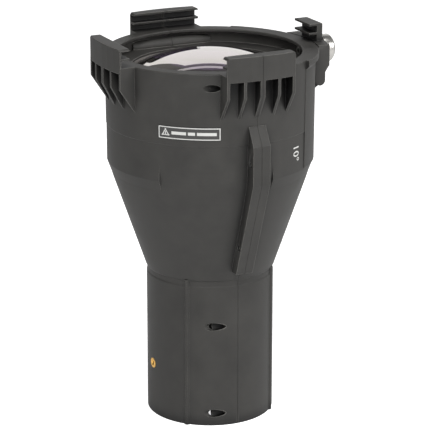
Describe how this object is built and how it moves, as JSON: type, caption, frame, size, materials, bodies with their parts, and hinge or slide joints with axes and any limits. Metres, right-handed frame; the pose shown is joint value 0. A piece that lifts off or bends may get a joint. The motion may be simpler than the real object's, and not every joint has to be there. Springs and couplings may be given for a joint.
{
  "type": "ellipsoidal spotlight lens tube",
  "caption": "Lens tube for a profile spotlight: a flared two-part cast barrel with a domed front lens, accessory slots and a hinged gate held by a thumb screw",
  "frame": {"origin": "centre of the bounding box at the rear rim, on the surface that the tube stands on", "axes": "+Z along the optical axis towards the light exit, +X towards the gate and its thumb screw, +Y towards the back seam"},
  "size_m": [0.3462, 0.32, 0.542],
  "materials": {
    "powder_coat": "fine-texture black powder coat on die-cast aluminium",
    "lens_glass": "polished, coated",
    "silicone": "moulded silicone",
    "turned_aluminium": "turned",
    "plated_steel": "zinc plated",
    "brass": "turned",
    "black_steel": "black oxide",
    "label_film": "printed film"
  },
  "bodies": {
    "lens_tube": {"left_shell": "powder_coat", "right_shell": "powder_coat", "front_lens": "lens_glass", "lens_gasket": "silicone", "gate_bush": "plated_steel", "gate_pin_front": "plated_steel", "gate_pin_back": "plated_steel", "focus_insert": "brass", "warning_label": "label_film", "seam_screw_front_bell": "black_steel", "seam_screw_front_rib_upper": "black_steel", "seam_screw_front_rib_lower": "black_steel", "seam_screw_front_tube_upper": "black_steel", "seam_screw_front_tube_lower": "black_steel", "seam_screw_back_bell": "black_steel", "seam_screw_back_rib_upper": "black_steel", "seam_screw_back_rib_lower": "black_steel", "seam_screw_back_tube_upper": "black_steel", "seam_screw_back_tube_lower": "black_steel"},
    "gate": {"latch_gate": "powder_coat"},
    "washer": {"knob_washer": "plated_steel"},
    "thumb_screw": {"thumb_knob": "turned_aluminium", "thumb_screw_stud": "plated_steel", "stud_clip": "plated_steel"}
  },
  "joints": [
    {"name": "gate_swing", "type": "hinge", "parent": "lens_tube", "child": "gate", "pos_m": [0.13345, 0, 0.4678], "axis": [0, 1, 0], "range_deg": [0, 100]},
    {"name": "screw_travel", "type": "slide", "parent": "gate", "child": "washer", "axis": [1, 0, 0], "range_m": [0, 0.003]},
    {"name": "knob_turn", "type": "hinge", "parent": "washer", "child": "thumb_screw", "pos_m": [0.16495, 0, 0.501], "axis": [1, 0, 0], "range_deg": [0, 1080]}
  ],
  "couplings": [
    {"joint": "knob_turn", "follows": "screw_travel", "rad_per_m": 6280}
  ]
}
